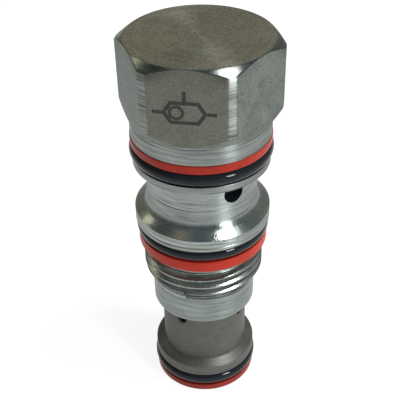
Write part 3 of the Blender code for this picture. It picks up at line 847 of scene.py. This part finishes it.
def make_materials():
    """Every finish by name."""
    return {
        "top": worked_metal(
            "top_face_zinc", light=(0.42, 0.41, 0.345), dark=(0.24, 0.23, 0.18), roughness=0.30,
            marks=0.5, grain=0.9, clouds=0.3, anisotropy=0.7, relief=0.9, spread=0.015),
        "chamfer": worked_metal(
            "chamfer_zinc", light=(0.165, 0.18, 0.165), dark=(0.095, 0.105, 0.095), roughness=0.24,
            marks=1.0, grain=0.4, clouds=0.3, anisotropy=0.6, relief=0.6),
        # The marked front flat: partly its own grain and pits, partly a colour darker than the other flats
        # that paints shade on this flat.
        "marked_flat": worked_metal(
            "marked_flat_zinc_painted_shade", light=(0.158, 0.161, 0.136), dark=(0.110, 0.112, 0.092), roughness=0.42,
            marks=0.0, grain=0.7, clouds=0.5, specks=0.3),
        "land": worked_metal(
            "land_zinc", light=(0.250, 0.272, 0.255), dark=(0.135, 0.147, 0.138), roughness=0.36,
            marks=1.0, grain=0.2, clouds=0.25, anisotropy=0.85, relief=0.9, tool_lines=0.7,
            edge=0.7),
        "flat": worked_metal(
            "flat_zinc", light=(0.222, 0.246, 0.222), dark=(0.138, 0.153, 0.138), roughness=0.40,
            marks=0.0, grain=0.7, clouds=0.5, specks=0.8, edge=0.62),
        "turned": worked_metal(
            "turned_zinc", light=(0.292, 0.317, 0.298), dark=(0.190, 0.207, 0.195), roughness=0.36,
            marks=1.0, grain=0.3, clouds=0.25, anisotropy=0.85, relief=0.9, tool_lines=0.6,
            edge=0.7),
        # A lighter copy of the turned zinc: painted light on the neck and the flange's side.
        "neck": worked_metal(
            "neck_zinc_painted_light", light=(0.372, 0.403, 0.380), dark=(0.245, 0.267, 0.251), roughness=0.36,
            marks=1.0, grain=0.15, clouds=0.25, anisotropy=0.85, relief=0.8, tool_lines=0.6,
            edge=0.75),
        "cone": worked_metal(
            "flange_zinc", light=(0.33, 0.36, 0.35), dark=(0.24, 0.26, 0.25), roughness=0.26,
            marks=0.7, grain=0.7, clouds=0.3, anisotropy=0.85, relief=1.1, edge=0.8),
        "thread": worked_metal(
            "thread_zinc", light=(0.33, 0.35, 0.335), dark=(0.18, 0.20, 0.185), roughness=0.28,
            marks=1.0, grain=0.6, clouds=0.3, anisotropy=0.3, relief=0.6, edge=0.5),
        "skirt": worked_metal(
            "skirt_zinc", light=(0.300, 0.337, 0.324), dark=(0.205, 0.231, 0.222), roughness=0.36,
            marks=1.0, grain=0.1, clouds=0.3, anisotropy=0.8, relief=0.8, tool_lines=0.4,
            edge=0.85),
        # Darker than the zinc round it: painted shade inside the drilled hole, on a rougher finish.
        "port": worked_metal(
            "drilled_zinc", light=(0.16, 0.18, 0.22), dark=(0.10, 0.12, 0.15), roughness=0.45,
            marks=0.6, grain=0.3, clouds=0.3),
        "sleeve": worked_metal(
            "hardened_steel", light=(0.116, 0.116, 0.104), dark=(0.086, 0.086, 0.077), roughness=0.42,
            marks=0.6, grain=0.4, clouds=0.5, anisotropy=0.5, metallic=0.5, edge=0.5),
        "seat": worked_metal(
            "seat_steel", light=(0.36, 0.35, 0.33), dark=(0.26, 0.25, 0.23), roughness=0.25,
            marks=0.6, grain=0.1, clouds=0.3, anisotropy=0.4),
        "spring": worked_metal(
            "spring_steel", light=(0.22, 0.22, 0.22), dark=(0.13, 0.13, 0.13), roughness=0.35,
            marks=0.3, grain=0.3, clouds=0.4),
        "ball": worked_metal(
            "ball_steel", light=(0.64, 0.64, 0.63), dark=(0.58, 0.58, 0.57), roughness=0.08,
            marks=0.1, grain=0.2, clouds=0.7, relief=0.1, spread=0.02),
        "rubber": rubber("black_rubber"),
        # The upper and nose rings get darker copies of the same red plastic: painted shade.
        "upper_red": red_plastic("red_backup_plastic_upper_painted_shade", 0.80),
        "middle_red": red_plastic("red_backup_plastic", 1.0),
        "nose_red": red_plastic("red_backup_plastic_nose_painted_shade", 0.55),
        "etched": etched("laser_mark"),
    }


# ---------------------------------------------------------------- pieces

def build_outer_pieces(finish):
    """The body, its mark, the nose sleeve, and the four seals with their backup rings."""
    zinc = [finish[key] for key in BODY_FINISHES]
    place("hex_body_detail", body_mesh(zinc), "valve_body", "zinc_plated_steel", (), "hex_body")
    place("flow_symbol", symbol_mesh(), "valve_body", "zinc_plated_steel", [finish["etched"]])
    place("nose_sleeve_detail", sleeve_mesh(), "sleeve", "hardened_steel", [finish["sleeve"]], "nose_sleeve")
    for name, body_name, groove in (("upper", "valve_body", UPPER_GROOVE_RADIUS),
                                    ("middle", "valve_body", MIDDLE_GROOVE_RADIUS),
                                    ("nose", "sleeve", NOSE_GROOVE_RADIUS),
                                    ("sleeve", "sleeve", SLEEVE_SEAL_GROOVE_RADIUS)):
        ring = f"{name}_o_ring"
        backup = f"{name}_backup_ring"
        # the upper and nose rings take the darker red copies, which paint shade
        red = finish.get(f"{name}_red", finish["middle_red"])
        place(f"{ring}_detail", o_ring_mesh(ring, groove), body_name, "black_rubber",
              [finish["rubber"]], ring)
        place(f"{backup}_detail", backup_ring_mesh(backup, groove), body_name, "red_backup_plastic",
              [red], backup)


def build_inner_pieces(finish):
    """The seats with their seals and rings, the wire that holds the sleeve, and the ball."""
    for end in ("upper", "lower"):
        seat = f"{end}_seat"
        seal = f"{end}_seat_o_ring"
        ring = f"{end}_seat_retaining_ring"
        place(f"{seat}_detail", seat_mesh(seat, seal), "sleeve", "seat_steel", [finish["seat"]], seat)
        place(f"{seal}_detail", o_ring_mesh(seal, SEAT_GROOVE_RADIUS), "sleeve", "black_rubber",
              [finish["rubber"]], seal)
        place(f"{ring}_detail", seat_ring_mesh(ring), "sleeve", "spring_steel", [finish["spring"]], ring)
    section = round_section(WIRE_CENTRE_RADIUS, WIRE_HEIGHT, WIRE_RADIUS, 24)
    wire = split_ring_mesh("sleeve_retaining_wire_detail", section, WIRE_OPENING)
    place("sleeve_retaining_wire_detail", wire, "valve_body", "spring_steel", [finish["spring"]],
          "sleeve_retaining_wire")
    place("shuttle_ball_detail", ball_mesh("shuttle_ball"), "ball", "ball_steel", [finish["ball"]],
          "shuttle_ball")


# ---------------------------------------------------------------- studio

TARGET = Vector((-0.39, 0.0, 35.94)) * MM
CAMERA_DISTANCE = 131.0 * MM
CAMERA_ELEVATION = 35.9
CAMERA_ROLL = -1.2
CAMERA_LENS = 72.6


def direction(azimuth, elevation):
    """From the valve towards azimuth, where 0 is -Y and 90 is +X."""
    a, e = math.radians(azimuth), math.radians(elevation)
    return Vector((math.sin(a) * math.cos(e), -math.cos(a) * math.cos(e), math.sin(e)))


def add_camera():
    data = bpy.data.cameras.new("camera")
    data.lens = CAMERA_LENS
    data.sensor_width = 36.0
    data.clip_start = 0.01
    data.clip_end = 20.0
    camera = bpy.data.objects.new("camera", data)
    back = direction(0.0, CAMERA_ELEVATION)
    turn = (-back).to_track_quat("-Z", "Y").to_matrix() @ Matrix.Rotation(math.radians(CAMERA_ROLL), 3, "Z")
    camera.matrix_world = Matrix.Translation(TARGET + back * CAMERA_DISTANCE) @ turn.to_4x4()
    bpy.context.scene.collection.objects.link(camera)
    bpy.context.scene.camera = camera


def add_sun(name, azimuth, elevation, width, strength, colour):
    """A distant soft light, width degrees across."""
    data = bpy.data.lights.new(name, "SUN")
    data.energy = strength
    data.angle = math.radians(width)
    data.color = colour
    lamp = bpy.data.objects.new(name, data)
    lamp.rotation_euler = direction(azimuth, elevation).to_track_quat("Z", "Y").to_euler()
    bpy.context.scene.collection.objects.link(lamp)


def add_window(name, azimuth, elevation, width, height, radiance, colour, distance=1.5):
    """An upright soft lamp, its width and height given as angles in degrees."""
    data = bpy.data.lights.new(name, "AREA")
    data.shape = "RECTANGLE"
    data.size = 2.0 * distance * math.tan(math.radians(width / 2.0))
    data.size_y = 2.0 * distance * math.tan(math.radians(height / 2.0))
    data.energy = radiance * math.pi * data.size * data.size_y
    data.color = colour
    lamp = bpy.data.objects.new(name, data)
    lamp.location = direction(azimuth, elevation) * distance
    lamp.rotation_euler = direction(azimuth, elevation).to_track_quat("Z", "Y").to_euler()
    bpy.context.scene.collection.objects.link(lamp)


def add_floor():
    """A plain pale sheet that glows with painted light, so that it takes only a faint shadow; the glow is a
    painted pool of light round the valve.
    """
    bm = bmesh.new()
    bmesh.ops.create_circle(bm, cap_ends=True, segments=96, radius=12.0)
    mesh = bpy.data.meshes.new("floor")
    bm.to_mesh(mesh)
    bm.free()
    made, tree, shader = new_material("pale_floor", (0.25, 0.25, 0.25), 0.9, 0.0)
    shader.inputs["Specular IOR Level"].default_value = 0.0
    shader.inputs["Emission Strength"].default_value = 0.87
    position = node(tree, "ShaderNodeTexCoord").outputs["Object"]
    # painted pool of light: the glow dims from 0.15 m out and again far away
    distance = node(tree, "ShaderNodeVectorMath", {0: position}, operation="LENGTH").outputs["Value"]
    near = ramp(tree, distance, 0.15, 0.40, 1.0, 0.60)
    far = ramp(tree, distance, 0.4, 1.6, 1.0, 0.55)
    share = math_node(tree, "MULTIPLY", near, far)
    painted_pool_glow = blend_colours(tree, share, (0.0, 0.0, 0.0), (1.0, 1.0, 1.0))
    tree.links.new(painted_pool_glow, shader.inputs["Emission Color"])
    mesh.materials.append(made)
    floor = bpy.data.objects.new("floor", mesh)
    bpy.context.scene.collection.objects.link(floor)


def sky_patch(tree, vector, sky, azimuth, elevation, width, colour):
    """Blends a soft round patch, width degrees across, into the sky."""
    towards = direction(azimuth, elevation)
    along = node(tree, "ShaderNodeVectorMath", {0: vector, 1: tuple(towards)}, operation="DOT_PRODUCT")
    inner = math.cos(math.radians(width * 0.3))
    outer = math.cos(math.radians(width * 0.6))
    share = ramp(tree, along.outputs["Value"], outer, inner, 0.0, 1.0)
    return blend_colours(tree, share, sky, colour)


def add_world():
    """A dim room: one grey at the horizon; above it dark in front, olive behind, blue-grey overhead."""
    world = bpy.data.worlds.new("studio")
    bpy.context.scene.world = world
    world.use_nodes = True
    tree = world.node_tree
    background = tree.nodes["Background"]
    vector = node(tree, "ShaderNodeTexCoord").outputs["Generated"]
    x, y, z = node(tree, "ShaderNodeSeparateXYZ", {0: vector}).outputs
    sides = blend_colours(tree, ramp(tree, x, -0.5, 0.5, 0.0, 1.0), (0.13, 0.145, 0.13), (0.25, 0.28, 0.27))
    behind = blend_colours(tree, ramp(tree, x, -0.35, 0.35, 0.0, 1.0), (0.32, 0.29, 0.22), (0.38, 0.39, 0.35))
    around = blend_colours(tree, ramp(tree, y, -0.1, 0.6, 0.0, 1.0), sides, behind)
    around = blend_colours(tree, ramp(tree, y, -0.2, -0.9, 0.0, 1.0), around, (0.12, 0.14, 0.15))
    above = blend_colours(tree, ramp(tree, z, 0.0, 0.32, 0.0, 1.0), (0.30, 0.31, 0.31), around)
    sky = blend_colours(tree, ramp(tree, z, 0.55, 0.9, 0.0, 1.0), above, (0.20, 0.25, 0.29))
    sky = sky_patch(tree, vector, sky, -78.0, 70.0, 16.0, (0.95, 0.68, 0.44))
    sky = sky_patch(tree, vector, sky, -100.0, 55.0, 22.0, (0.13, 0.13, 0.12))
    tree.links.new(sky, background.inputs["Color"])
    background.inputs["Strength"].default_value = 1.0


def add_studio():
    bpy.context.scene.view_settings.view_transform = "Standard"
    add_camera()
    add_world()
    add_floor()
    add_sun("key", 77.0, 68.0, 11.0, 1.9, (1.0, 1.0, 1.0))
    add_sun("left", -126.0, 41.0, 11.0, 0.11, (1.0, 0.97, 0.70))
    add_window("window", 44.0, 23.0, 12.0, 13.0, 42.0, (0.97, 1.0, 1.0))


add_studio()
finishes = make_materials()
build_outer_pieces(finishes)
build_inner_pieces(finishes)
